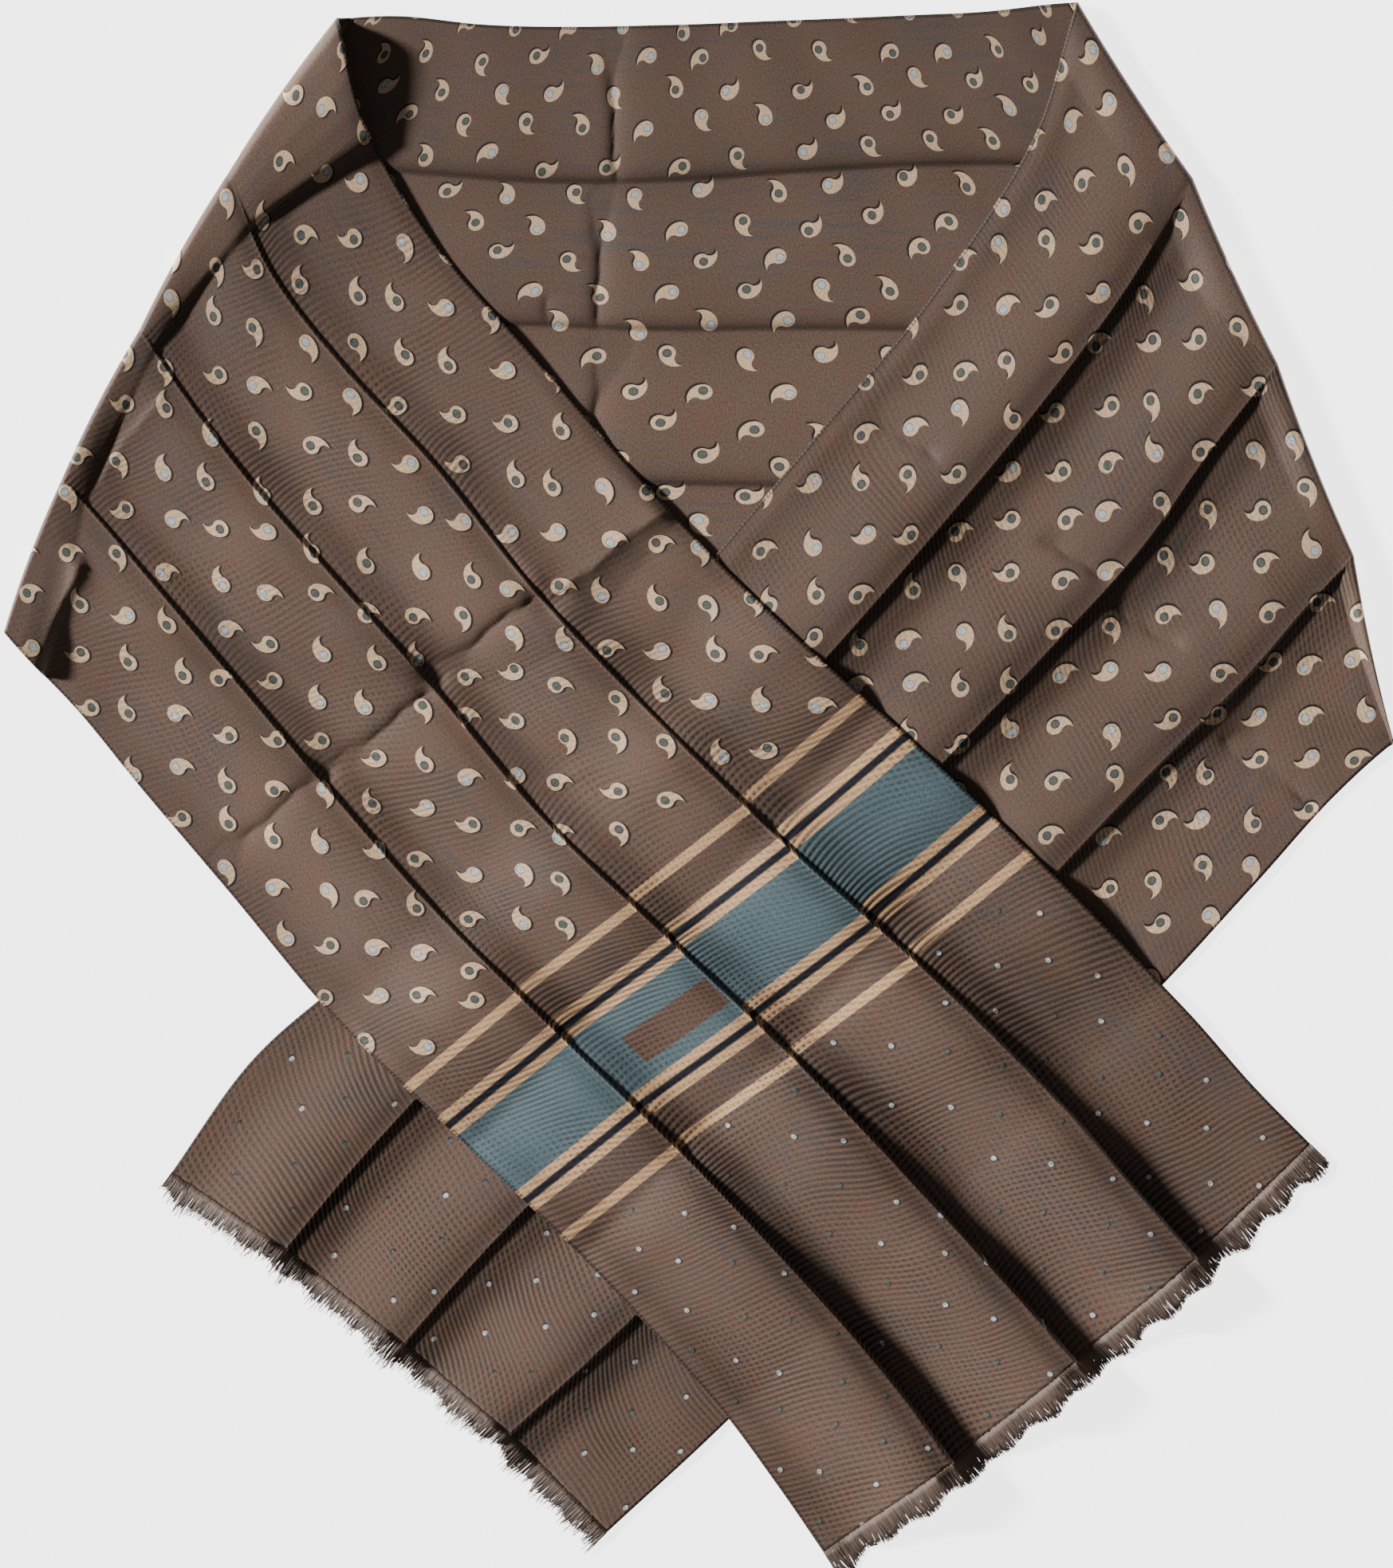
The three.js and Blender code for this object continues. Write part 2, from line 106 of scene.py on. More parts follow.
def place(rows, at, across):
    """Plan point of the cloth; across counts the pleats from 0 at one edge to 4 at the other."""
    at, across = np.broadcast_arrays(np.asarray(at, float), np.asarray(across, float))
    s = section_at(rows, at)
    pleat = np.clip(np.floor(across), 0, 3).astype(int)
    g = across - pleat
    lines = lines_of(s)
    out = mix(pick(lines, pleat), pick(lines, pleat + 1), g)
    bow_a = s["bow"] * np.abs(pleat / 2 - 1) ** 3
    bow_b = s["bow"] * np.abs((pleat + 1) / 2 - 1) ** 3
    off = mix(bow_a, bow_b, g) + s["dip"] * 4 * g * (1 - g)
    c, n = np.cos(np.radians(s["turn"])), np.sin(np.radians(s["turn"]))
    return s["x"] + out * c - off * n, s["y"] + out * n + off * c


def pace_at(rows, at, across):
    ax, ay = place(rows, at - 0.5, across)
    bx, by = place(rows, at + 0.5, across)
    return np.hypot(bx - ax, by - ay)


def locate(rows, x, y):
    """The reverse of place: at, across, and how far the point lies outside either edge."""
    low = np.full(x.shape, float(rows[0][0]))
    high = np.full(x.shape, float(rows[-1][0]))

    def lead(at):
        s = section_at(rows, at)
        turn = np.radians(s["turn"])
        return (y - s["y"]) * np.cos(turn) - (x - s["x"]) * np.sin(turn)

    rising = lead(low) < lead(high)
    for _ in range(22):
        middle = (low + high) / 2
        beyond = (lead(middle) > 0) == rising
        high = np.where(beyond, middle, high)
        low = np.where(beyond, low, middle)
    s = section_at(rows, low)
    turn = np.radians(s["turn"])
    out = (x - s["x"]) * np.cos(turn) + (y - s["y"]) * np.sin(turn)
    lines = lines_of(s)
    pleat = (out > lines[..., 1]).astype(int) + (out > lines[..., 2]) + (out > lines[..., 3])
    near, far = pick(lines, pleat), pick(lines, pleat + 1)
    return low, pleat + (out - near) / (far - near), lines[..., 0] - out, out - lines[..., 4]


def back_pleat(g):
    """A low ramp out of the valley, and a rounded shoulder that drops into the next one."""
    down = np.clip((g - 0.85) / 0.15, 0, 1)
    return smooth((g - 0.04) / 0.7) * np.sqrt(1 - down**2)


def creases_at(creases, at, across):
    """Height that listed creases add: each has a sharp line, and dies away before and after it."""
    total = np.zeros(np.broadcast(at, across).shape)
    for start, slant, low, high, before, after, height in creases:
        wander = 0.9 * np.sin(11 * across + start) + 0.5 * np.sin(31 * across + 2 * start)
        off = at - start - slant * (across - low) - wander
        ends = smooth((across - low + 0.02) / 0.1) * smooth((high - across + 0.02) / 0.1)
        total = total + height * ends * np.exp(-np.abs(off) / np.where(off < 0, before, after))
    return total


def ripple(at, across, seed, depth):
    """Slight unevenness of hand-laid cloth, as a few long crossing waves."""
    rng = random.Random(seed)
    total = np.zeros(np.broadcast(at, across).shape)
    for _ in range(9):
        long, wide = rng.uniform(-0.11, 0.11), rng.uniform(-6.5, 6.5)
        total = total + np.sin(long * at + wide * across + rng.uniform(0, 6.28))
    return depth * (total / 9 + 0.35)


def spread_columns(per_pleat, sharp):
    """Places across one pleat, closer together near both of its creases."""
    t = np.linspace(0, 1, per_pleat + 1)
    return mix(t, smooth(t), sharp)


def packed_rows(first, last, count, near, far):
    """Places along a stretch, three times as close between near and far, where creases cross it."""
    t = np.linspace(first, last, 4001)
    weight = 1 + 2 * (smooth((t - near) / (0.02 * last) + 1) - smooth((t - far) / (0.02 * last)))
    share = np.concatenate([[0], np.cumsum((weight[1:] + weight[:-1]) / 2)])
    return np.interp(np.linspace(0, share[-1], count), share, t)


def cloth_piece(name, x, y, z, along, across, pleats):
    """A thin shell through a grid of points, with its weave as the UV map: metres along and across."""
    rows, columns = x.shape
    points = np.stack([(x + SHIFT[0]) * MM, (y + SHIFT[1]) * MM, z * MM], -1).reshape(-1, 3)
    index = np.arange(rows * columns).reshape(rows, columns)
    quads = np.stack([index[:-1, :-1], index[1:, :-1], index[1:, 1:], index[:-1, 1:]], -1).reshape(-1, 4)
    a, b, c = points[quads[:, 0]], points[quads[:, 1]], points[quads[:, 2]]
    if np.cross(b - a, c - a)[:, 2].sum() < 0:
        quads = quads[:, ::-1]
    mesh = bpy.data.meshes.new(name)
    mesh.from_pydata(points.tolist(), [], quads.tolist())
    for label, u, v in (("weave", along * MM, across * MM), ("pleats", pleats, along * MM)):
        layer = mesh.uv_layers.new(name=label)
        values = np.stack([u.ravel()[quads.ravel()], v.ravel()[quads.ravel()]], -1)
        layer.data.foreach_set("uv", values.astype(np.float32).ravel())
    mesh.shade_smooth()
    piece = bpy.data.objects.new(name, mesh)
    bpy.context.scene.collection.objects.link(piece)
    bpy.context.view_layer.objects.active = piece
    wall = piece.modifiers.new("wall", "SOLIDIFY")
    wall.thickness = SILK * MM
    wall.offset = 0
    bpy.ops.object.modifier_apply(modifier=wall.name)
    return piece


# The silk: brown twill printed through with small cream commas, each with a dot, in four
# directions. Near both ends come tan, navy and blue bands, and past them a field of small dots.
BROWN = (0.165, 0.110, 0.082, 1)
RUST = (0.185, 0.100, 0.070, 1)
SLATE = (0.100, 0.098, 0.100, 1)
CREAM = (0.86, 0.59, 0.37, 1)
PALE_DOT = (0.62, 0.66, 0.67, 1)
DARK_DOT = (0.13, 0.14, 0.125, 1)
RING = (0.060, 0.064, 0.058, 1)
SHADE = (0.022, 0.018, 0.018, 1)
TAN = (0.76, 0.46, 0.25, 1)
NAVY = (0.016, 0.016, 0.026, 1)
BLUE = (0.118, 0.168, 0.186, 1)
LABEL_CLOTH = (0.150, 0.088, 0.066, 1)
BLOCK = 36.0            # the print's motifs lie on two crossed sets of squares of this side, mm
JITTER = 7.5            # how far they stray from the middles of their squares, in all
LEAN = 0.36             # and how far they lean off the four directions, in all, radians
OTHER_DRAW = 57.3       # added to a square's number, it gives the square a second set of chances
COMMA_MIDDLE = (1.7, 0.8)   # the middle of a whole comma, from the middle of its head
COMMA_SHRINK = 1.06         # a comma is printed this much smaller than it is drawn
SHADE_STEP = 0.75       # each comma's dark shade is moved by this much and grown by this much
SHADE_GROWN = 0.25
DOT_RADIUS = 2.45
DOT_RING = 0.5
DOT_START = (1.0, 1.3)  # a comma's dot lies this far off the middle of its head, and strays back
DOT_STRAY = 2.2         # by a chance share of this
SPECK_RADIUS = 1.3      # the small dots of the ends, and the shade under each
SPECK_SHADE_RADIUS = 1.5
FIELD_END = -10.0       # the commas stop this far before the first band's middle,
DOTS_START = 113.5      # and the small dots start this far past it
OUT_OF_SIGHT = 50       # added to a distance, it hides the motif
PALE_ABOVE = 0.68       # chances above this make a comma's dot pale,
PALE_SPECK_ABOVE = 0.42     # and above this a small dot
BANDS = [               # middle and width of each band, measured from the first one
    ("tan", 0, 5.2), ("tan", 22.8, 4.8), ("navy", 27.2, 3.0), ("tan", 31.6, 4.8), ("blue", 53.9, 39.8),
    ("tan", 76.1, 4.8), ("navy", 80.5, 3.0), ("tan", 84.9, 4.8), ("tan", 106.5, 5.2),
]
PAINTS = {"tan": TAN, "navy": NAVY, "blue": BLUE}
OVER_BANDS = -352.0     # where they start on the way to each end, from the left-hand fold
UNDER_BANDS = 854.0
LABEL = (-409.0, 195.0, 17.0, 58.0)     # middle, along and across; length and width


class Weave:
    """Builds one material's nodes with short calls."""

    def __init__(self, name):
        self.material = bpy.data.materials.new(name)
        self.material.use_nodes = True
        self.tree = self.material.node_tree
        self.shader = self.tree.nodes["Principled BSDF"]

    def put(self, socket, value):
        if isinstance(value, bpy.types.NodeSocket):
            self.tree.links.new(value, socket)
        else:
            socket.default_value = value

    def math(self, operation, *values):
        node = self.tree.nodes.new("ShaderNodeMath")
        node.operation = operation
        for socket, value in zip(node.inputs, values):
            self.put(socket, value)
        return node.outputs[0]

    def pair(self, x, y):
        node = self.tree.nodes.new("ShaderNodeCombineXYZ")
        self.put(node.inputs[0], x)
        self.put(node.inputs[1], y)
        return node.outputs[0]

    def split(self, vector):
        node = self.tree.nodes.new("ShaderNodeSeparateXYZ")
        self.put(node.inputs[0], vector)
        return node.outputs

    def uv(self, name):
        node = self.tree.nodes.new("ShaderNodeUVMap")
        node.uv_map = name
        return node.outputs[0]

    def chance(self, vector):
        node = self.tree.nodes.new("ShaderNodeTexWhiteNoise")
        node.noise_dimensions = "2D"
        self.put(node.inputs["Vector"], vector)
        return self.split(node.outputs["Color"])

    def noise(self, vector, scale, detail=2.0, rough=0.5):
        node = self.tree.nodes.new("ShaderNodeTexNoise")
        self.put(node.inputs["Vector"], vector)
        node.inputs["Scale"].default_value = scale
        node.inputs["Detail"].default_value = detail
        node.inputs["Roughness"].default_value = rough
        return node.outputs["Fac"]

    def blend(self, share, first, second):
        node = self.tree.nodes.new("ShaderNodeMix")
        node.data_type = "RGBA"
        self.put(node.inputs[0], share)
        self.put(node.inputs[6], first)
        self.put(node.inputs[7], second)
        return node.outputs[2]

    def inside(self, distance, edge=0.35):
        """1 where a signed distance in mm is negative, fading over the edge's width."""
        node = self.tree.nodes.new("ShaderNodeMapRange")
        node.interpolation_type = "SMOOTHSTEP"
        self.put(node.inputs["Value"], distance)
        node.inputs["From Min"].default_value = -edge / 2
        node.inputs["From Max"].default_value = edge / 2
        node.inputs["To Min"].default_value = 1
        node.inputs["To Max"].default_value = 0
        return node.outputs["Result"]

    def disc(self, x, y, cx, cy, radius):
        """Signed distance to a circle."""
        dx, dy = self.math("SUBTRACT", x, cx), self.math("SUBTRACT", y, cy)
        squares = self.math("ADD", self.math("MULTIPLY", dx, dx), self.math("MULTIPLY", dy, dy))
        return self.math("SUBTRACT", self.math("SQRT", squares), radius)

    def comma(self, x, y):
        """Signed distance to a comma: a round head, and a tail between two circles that meet."""
        head = self.disc(x, y, 0, 0, 4.3)
        outer = self.disc(x, y, 0, 3.7, 8.0)
        notch = self.math("MULTIPLY", self.disc(x, y, 3.8, 7.0, 3.7), -1)
        above = self.math("MULTIPLY_ADD", x, -0.51, self.math("MULTIPLY_ADD", y, 0.86, -1.83))
        tail = self.math("MAXIMUM", self.math("MAXIMUM", outer, notch), above)
        return self.math("MINIMUM", head, self.math("MAXIMUM", tail, self.math("MULTIPLY", x, -1)))

    def scale(self, vector, share):
        node = self.tree.nodes.new("ShaderNodeVectorMath")
        node.operation = "SCALE"
        self.put(node.inputs[0], vector)
        self.put(node.inputs["Scale"], share)
        return node.outputs[0]

    def wave(self, value, period):
        """A ripple between 0 and 1."""
        sine = self.math("SINE", self.math("MULTIPLY", value, 2 * math.pi / period))
        return self.math("MULTIPLY_ADD", sine, 0.5, 0.5)

    def limit(self, value, low, high, reach=1.0):
        """Rises from 0 to reach as the value goes from low to high."""
        node = self.tree.nodes.new("ShaderNodeMapRange")
        self.put(node.inputs["Value"], value)
        node.inputs["From Min"].default_value = low
        node.inputs["From Max"].default_value = high
        node.inputs["To Max"].default_value = reach
        return node.outputs["Result"]


silk = Weave("printed_silk")
u, v, _ = silk.split(silk.uv("weave"))
u = silk.math("MULTIPLY", u, 1 / MM)
v = silk.math("MULTIPLY", v, 1 / MM)
flat = silk.pair(u, v)
over_bands = silk.math("SUBTRACT", OVER_BANDS, u)
along_bands = silk.math("MAXIMUM", over_bands, silk.math("SUBTRACT", u, UNDER_BANDS))


def motifs(shift):
    """One set of squares: distances to its commas, their shades and dots, and to its specks."""
    across_at = silk.math("DIVIDE", silk.math("ADD", v, shift), BLOCK)
    along_at = silk.math("DIVIDE", silk.math("ADD", u, shift), BLOCK)
    cell_x, cell_y = silk.math("FLOOR", along_at), silk.math("FLOOR", across_at)
    luck_x, luck_y, luck_turn = silk.chance(silk.pair(silk.math("ADD", cell_x, shift), cell_y))
    other_cell = silk.pair(silk.math("ADD", cell_x, OTHER_DRAW + shift), cell_y)
    luck_tint, luck_kind, luck_lean = silk.chance(other_cell)
    stray_x = silk.math("MULTIPLY_ADD", luck_x, JITTER, (BLOCK - JITTER) / 2)
    stray_y = silk.math("MULTIPLY_ADD", luck_y, JITTER, (BLOCK - JITTER) / 2)
    cell_u = silk.math("MULTIPLY", silk.math("SUBTRACT", along_at, cell_x), BLOCK)
    cell_v = silk.math("MULTIPLY", silk.math("SUBTRACT", across_at, cell_y), BLOCK)
    near_x, near_y = silk.math("SUBTRACT", cell_u, stray_x), silk.math("SUBTRACT", cell_v, stray_y)
    quarter = silk.math("MULTIPLY", silk.math("FLOOR", silk.math("MULTIPLY", luck_turn, 4)), math.pi / 2)
    turn = silk.math("ADD", quarter, silk.math("MULTIPLY_ADD", luck_lean, LEAN, -LEAN / 2))
    cos, sin = silk.math("COSINE", turn), silk.math("SINE", turn)

    def turned(x, y):
        tx = silk.math("ADD", silk.math("MULTIPLY", x, cos), silk.math("MULTIPLY", y, sin))
        ty = silk.math("SUBTRACT", silk.math("MULTIPLY", x, sin), silk.math("MULTIPLY", y, cos))
        return (silk.math("MULTIPLY_ADD", tx, COMMA_SHRINK, COMMA_MIDDLE[0]),
                silk.math("MULTIPLY_ADD", ty, COMMA_SHRINK, COMMA_MIDDLE[1]))

    head_x, head_y = turned(near_x, near_y)
    dot_x = silk.math("MULTIPLY_ADD", luck_tint, DOT_STRAY, silk.math("SUBTRACT", head_x, DOT_START[0]))
    dot_y = silk.math("MULTIPLY_ADD", luck_kind, DOT_STRAY, silk.math("SUBTRACT", head_y, DOT_START[1]))
    shade_x, shade_y = turned(silk.math("ADD", near_x, SHADE_STEP), silk.math("ADD", near_y, SHADE_STEP))
    # A motif belongs to the field, the bands or the dotted end by where its middle is.
    middle_u = silk.math("SUBTRACT", u, near_x)
    past_over = silk.math("SUBTRACT", OVER_BANDS, middle_u)
    past = silk.math("MAXIMUM", past_over, silk.math("SUBTRACT", middle_u, UNDER_BANDS))
    no_field = silk.math("MULTIPLY", silk.math("GREATER_THAN", past, FIELD_END), OUT_OF_SIGHT)
    no_dots = silk.math("MULTIPLY", silk.math("LESS_THAN", past, DOTS_START), OUT_OF_SIGHT)
    speck = silk.disc(near_x, near_y, 0, 0, SPECK_RADIUS)
    speck_shade = silk.disc(near_x, near_y, -0.6, -0.6, SPECK_SHADE_RADIUS)
    return {
        "comma": silk.math("ADD", silk.comma(head_x, head_y), no_field),
        "shade": silk.math("ADD", silk.comma(shade_x, shade_y), no_field),
        "dot": silk.math("ADD", silk.disc(dot_x, dot_y, 0, 0, DOT_RADIUS), no_field),
        "speck": silk.math("ADD", speck, no_dots),
        "speck_shade": silk.math("ADD", speck_shade, no_dots),
        "tint": luck_tint,
    }


first, second = motifs(0), motifs(BLOCK / 2)
nearest = {key: silk.math("MINIMUM", first[key], second[key]) for key in first if key != "tint"}
is_second = silk.math("LESS_THAN", silk.math("MINIMUM", second["dot"], second["speck"]),
                      silk.math("MINIMUM", first["dot"], first["speck"]))
tint_step = silk.math("SUBTRACT", second["tint"], first["tint"])
tint = silk.math("MULTIPLY_ADD", is_second, tint_step, first["tint"])

# How the ground drifts from brown to rust and slate, in streaks along the front stretches.
behind_neck = silk.math("MULTIPLY", silk.math("GREATER_THAN", u, 0), silk.math("LESS_THAN", u, BACK_LENGTH))
ends = silk.limit(along_bands, -70, 30)
mottle = silk.noise(flat, 0.05, 3.0, 0.6)
colour = silk.blend(silk.limit(mottle, 0.35, 0.75, 0.8), BROWN, RUST)
streak = silk.noise(silk.pair(silk.math("MULTIPLY", u, 0.35), silk.math("MULTIPLY", v, 4.0)), 0.06, 3.0, 0.6)
smudge = silk.limit(silk.noise(silk.pair(silk.math("ADD", u, 400), v), 0.014, 2.0), 0.42, 0.68, 0.55)
colour = silk.blend(silk.math("MULTIPLY", silk.limit(streak, 0.46, 0.62), smudge), colour, SLATE)
for kind, middle, width in BANDS:
    distance = silk.math("ABSOLUTE", silk.math("SUBTRACT", along_bands, middle))
    colour = silk.blend(silk.inside(silk.math("SUBTRACT", distance, width / 2), 0.5), colour, PAINTS[kind])
label_u, label_v, label_long, label_wide = LABEL
beside_u = silk.math("SUBTRACT", silk.math("ABSOLUTE", silk.math("SUBTRACT", u, label_u)), label_long / 2)
beside_v = silk.math("SUBTRACT", silk.math("ABSOLUTE", silk.math("SUBTRACT", v, label_v)), label_wide / 2)
label = silk.math("MAXIMUM", beside_u, beside_v)
colour = silk.blend(silk.inside(label, 0.8), colour, LABEL_CLOTH)

shade = silk.inside(silk.math("SUBTRACT", nearest["shade"], SHADE_GROWN), 0.9)
colour = silk.blend(silk.math("MULTIPLY", shade, 0.95), colour, SHADE)
colour = silk.blend(silk.inside(nearest["comma"]), colour, CREAM)
pale = silk.math("GREATER_THAN", tint, PALE_ABOVE)
ring_tint = silk.blend(pale, RING, silk.scale(PALE_DOT[:3], 0.5))
colour = silk.blend(silk.inside(nearest["dot"], 0.4), colour, ring_tint)
dot_tint = silk.blend(pale, DARK_DOT, PALE_DOT)
colour = silk.blend(silk.inside(silk.math("ADD", nearest["dot"], DOT_RING), 0.4), colour, dot_tint)
colour = silk.blend(silk.math("MULTIPLY", silk.inside(nearest["speck_shade"], 0.8), 0.7), colour, SHADE)
speck_tint = silk.blend(silk.math("GREATER_THAN", tint, PALE_SPECK_ABOVE), DARK_DOT, PALE_DOT)
colour = silk.blend(silk.inside(nearest["speck"]), colour, speck_tint)

# The weave: two sets of fine ribs that beat against each other. They are strong in the dotted ends
# and at the pleats' feet, where they fan out and their extra darkness is painted shade, and faint behind the
# neck.
RIB_TURN = 0.31         # how far the first set is turned from straight across the band, radians
RIB_PERIOD = 2.9        # from one rib to the next, mm, in each set
CROSS_PERIOD = 3.5
ENDS_STRENGTH = 0.29    # how strong the ribs are: in the ends, at the feet, in chance patches
FOOT_SHADE_STRENGTH = 0.55    # and everywhere
PATCH_STRENGTH = 0.3
LEAST_STRENGTH = 0.05


def darken(tone, share):
    """Takes a share off the tone."""
    return silk.math("MULTIPLY", tone, silk.math("SUBTRACT", 1, share))


pleat_at, _, _ = silk.split(silk.uv("pleats"))
into_pleat = silk.math("FRACT", pleat_at)
foot = silk.math("POWER", 2.718, silk.math("MULTIPLY", into_pleat, -6))
foot = silk.math("MULTIPLY", foot, silk.math("GREATER_THAN", pleat_at, 1))
drift = silk.math("MULTIPLY", silk.math("SUBTRACT", silk.noise(flat, 0.009, 1.0), 0.5), 30)
drift_v = silk.math("MULTIPLY", silk.math("SUBTRACT", silk.noise(silk.pair(v, u), 0.009, 1.0), 0.5), 26)
fan = silk.math("MULTIPLY_ADD", foot, 8, drift)
first_way = silk.math("ADD", silk.math("MULTIPLY", u, math.cos(RIB_TURN)),
                      silk.math("MULTIPLY", v, -math.sin(RIB_TURN)))
second_way = silk.math("ADD", silk.math("MULTIPLY", u, 0.14), silk.math("MULTIPLY", v, 0.99))
bars = silk.wave(silk.math("ADD", first_way, fan), RIB_PERIOD)
cross_bars = silk.wave(silk.math("ADD", second_way, drift_v), CROSS_PERIOD)
crossed = silk.limit(silk.noise(silk.pair(u, silk.math("ADD", v, 300)), 0.015, 1.0), 0.38, 0.6, 0.75)
gaps = silk.math("MULTIPLY", crossed, silk.math("SUBTRACT", 1, cross_bars))
ribs = darken(bars, gaps)
patch = silk.noise(silk.pair(silk.math("ADD", u, 900), v), 0.022, 2.0)
strength = silk.math("ADD", silk.limit(patch, 0.4, 0.65, PATCH_STRENGTH), LEAST_STRENGTH)
# painted shade: the ribs darken the pleats' feet more, where the crests' shadows fall
strength = silk.math("MULTIPLY_ADD", foot, FOOT_SHADE_STRENGTH, strength)
strength = silk.math("MULTIPLY_ADD", ends, ENDS_STRENGTH, strength)
strength = darken(strength, silk.math("MULTIPLY", behind_neck, 0.85))
grain = silk.noise(silk.pair(silk.math("MULTIPLY", u, 1.5), v), 0.8, 3.0, 0.9)
tone = silk.math("SUBTRACT", 1, silk.math("MULTIPLY", ribs, strength))
tone = silk.math("MULTIPLY", tone, silk.math("MULTIPLY_ADD", grain, 2.4, -0.2))

# Painted shade: the silk is darkened over the nape, in the valleys behind the neck, and beside both folds.
NAPE_PAINTED_SHADE = 0.3
VALLEY_PAINTED_SHADE = 0.6
RIGHT_FOLD_PAINTED_SHADE = 0.22
LEFT_FOLD_PAINTED_SHADE = 0.27
# painted shade, darker towards the top edge behind the neck
painted_nape_shade = silk.math("MULTIPLY", behind_neck, silk.limit(silk.math("SUBTRACT", 3, pleat_at), 0, 3, NAPE_PAINTED_SHADE))
tone = darken(tone, painted_nape_shade)
# painted shade along the valley lines behind the neck
valley = silk.math("POWER", 2.718, silk.math("MULTIPLY_ADD", into_pleat, 20, -20))
valley = silk.math("MULTIPLY", silk.math("MULTIPLY", valley, behind_neck), VALLEY_PAINTED_SHADE)
tone = darken(tone, valley)
# painted shade on the under stretch near the right-hand fold, except its last pleat
painted_right_fold_shade = silk.math("MULTIPLY", silk.math("GREATER_THAN", u, BACK_LENGTH),
                       silk.limit(u, 1000, 750, RIGHT_FOLD_PAINTED_SHADE))
painted_right_fold_shade = silk.math("MULTIPLY", painted_right_fold_shade, silk.math("LESS_THAN", pleat_at, 3))
tone = darken(tone, painted_right_fold_shade)
# painted shade beside the left-hand fold, where the cloth dives from the roll
painted_left_fold_shade = silk.math("MULTIPLY", silk.math("LESS_THAN", u, 0), silk.limit(u, -95, -20, LEFT_FOLD_PAINTED_SHADE))
tone = darken(tone, painted_left_fold_shade)

# A painted highlight runs along the pressed crests, and the hand-rolled hems are darkened, with a row of
# stitches and painted shade of the roll.
HEM = 1.7               # width of the rolled hem, mm
STITCH = 2.1            # from one stitch to the next
# painted highlight along each pressed crest
crest = silk.limit(into_pleat, 0.984, 0.992)
tone = silk.math("MULTIPLY", tone, silk.math("MULTIPLY_ADD", crest, 0.5, 1))
edge = silk.math("MULTIPLY", silk.math("MINIMUM", pleat_at, silk.math("SUBTRACT", 4, pleat_at)), PLEAT_CUT)
hem = silk.inside(silk.math("SUBTRACT", edge, HEM), 0.6)
# the hem's darkening is partly its stitches and partly painted shade of the roll
stitches_and_roll_shade = silk.math("MULTIPLY_ADD", silk.wave(u, STITCH), 0.4, -0.76)
tone = silk.math("MULTIPLY", tone, silk.math("MULTIPLY_ADD", hem, stitches_and_roll_shade, 1))
silk.put(silk.shader.inputs["Base Color"], silk.scale(colour, tone))
silk.shader.inputs["Roughness"].default_value = 0.55
silk.shader.inputs["Specular IOR Level"].default_value = 0.25
silk.shader.inputs["Sheen Weight"].default_value = 0.08
silk.shader.inputs["Sheen Roughness"].default_value = 0.4
bump = silk.tree.nodes.new("ShaderNodeBump")
bump.inputs["Strength"].default_value = 0.6
bump.inputs["Distance"].default_value = 0.0003
silk.put(bump.inputs["Height"], silk.math("MULTIPLY_ADD", ribs, silk.math("MULTIPLY", strength, -1), grain))
silk.put(silk.shader.inputs["Normal"], bump.outputs[0])

# Creases across the back stretch: where each starts, slant over a pleat, first and last line, how
# far it dies away before and after, height.
BACK_CREASES = [
    (203, 15, -0.2, 1.0, 2.4, 7.0, -1.5),
    (211, 7.5, 1.0, 2.0, 2.6, 7.0, -1.7),
    (221, 0, 2.0, 2.75, 2.6, 8.0, -1.7),
    (231, -22, 2.0, 2.35, 2.0, 4.0, -0.9),
    (190, 26, 1.78, 2.0, 2.0, 4.0, -1.0),
]
LEFT_INSET = [4.8, 4.0, 4.0, 5.0, 8.0]    # radius of each fold's roll, on each of its five lines
RIGHT_INSET = [3.6, 3.8, 4.0, 4.0, 4.0]
SLANT = 1.12         # the rolls run askew, which makes them this much deeper along the band


def back_height(at, across):
    pleat = np.clip(np.floor(across), 0, 3)
    settled = section_at(BACK, at)["rise"] / BACK_RISE
    lift = section_at(BACK, at)["rise"] * back_pleat(across - pleat)
    low = lift + settled * (ripple(at, across, 3, 0.6) + creases_at(BACK_CREASES, at, across))
    return CLOTH / 2 + np.maximum(0, low)


def along_line(values, across):
    """A value that is given for each of the five lines, at any place across."""
    return np.interp(across, [0, 1, 2, 3, 4], values)


back_columns = np.concatenate([p + spread_columns(24, 0.55)[:-1] for p in range(4)] + [[4.0]])
back_rows = packed_rows(0, 1, 236, 0.36, 0.44)
left_stop = along_line(LEFT_INSET[::-1], back_columns) * SLANT + SEAM_GAP * SLANT
right_stop = along_line(RIGHT_INSET, back_columns) * SLANT + SEAM_GAP * SLANT
start = left_stop / pace_at(BACK, np.full(back_columns.shape, 1.0), back_columns)
right_pace = pace_at(BACK, np.full(back_columns.shape, BACK_LENGTH - 1.0), back_columns)
stop = BACK_LENGTH - right_stop / right_pace
at = mix(start[None, :], stop[None, :], back_rows[:, None])
across = np.broadcast_to(back_columns[None, :], at.shape)
x, y = place(BACK, at, across)
back = cloth_piece("back_silk", x, y, back_height(at, across), at, across * PLEAT_CUT, across)
back.data.materials.append(silk.material)
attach(back, "root")
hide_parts("back_stretch")

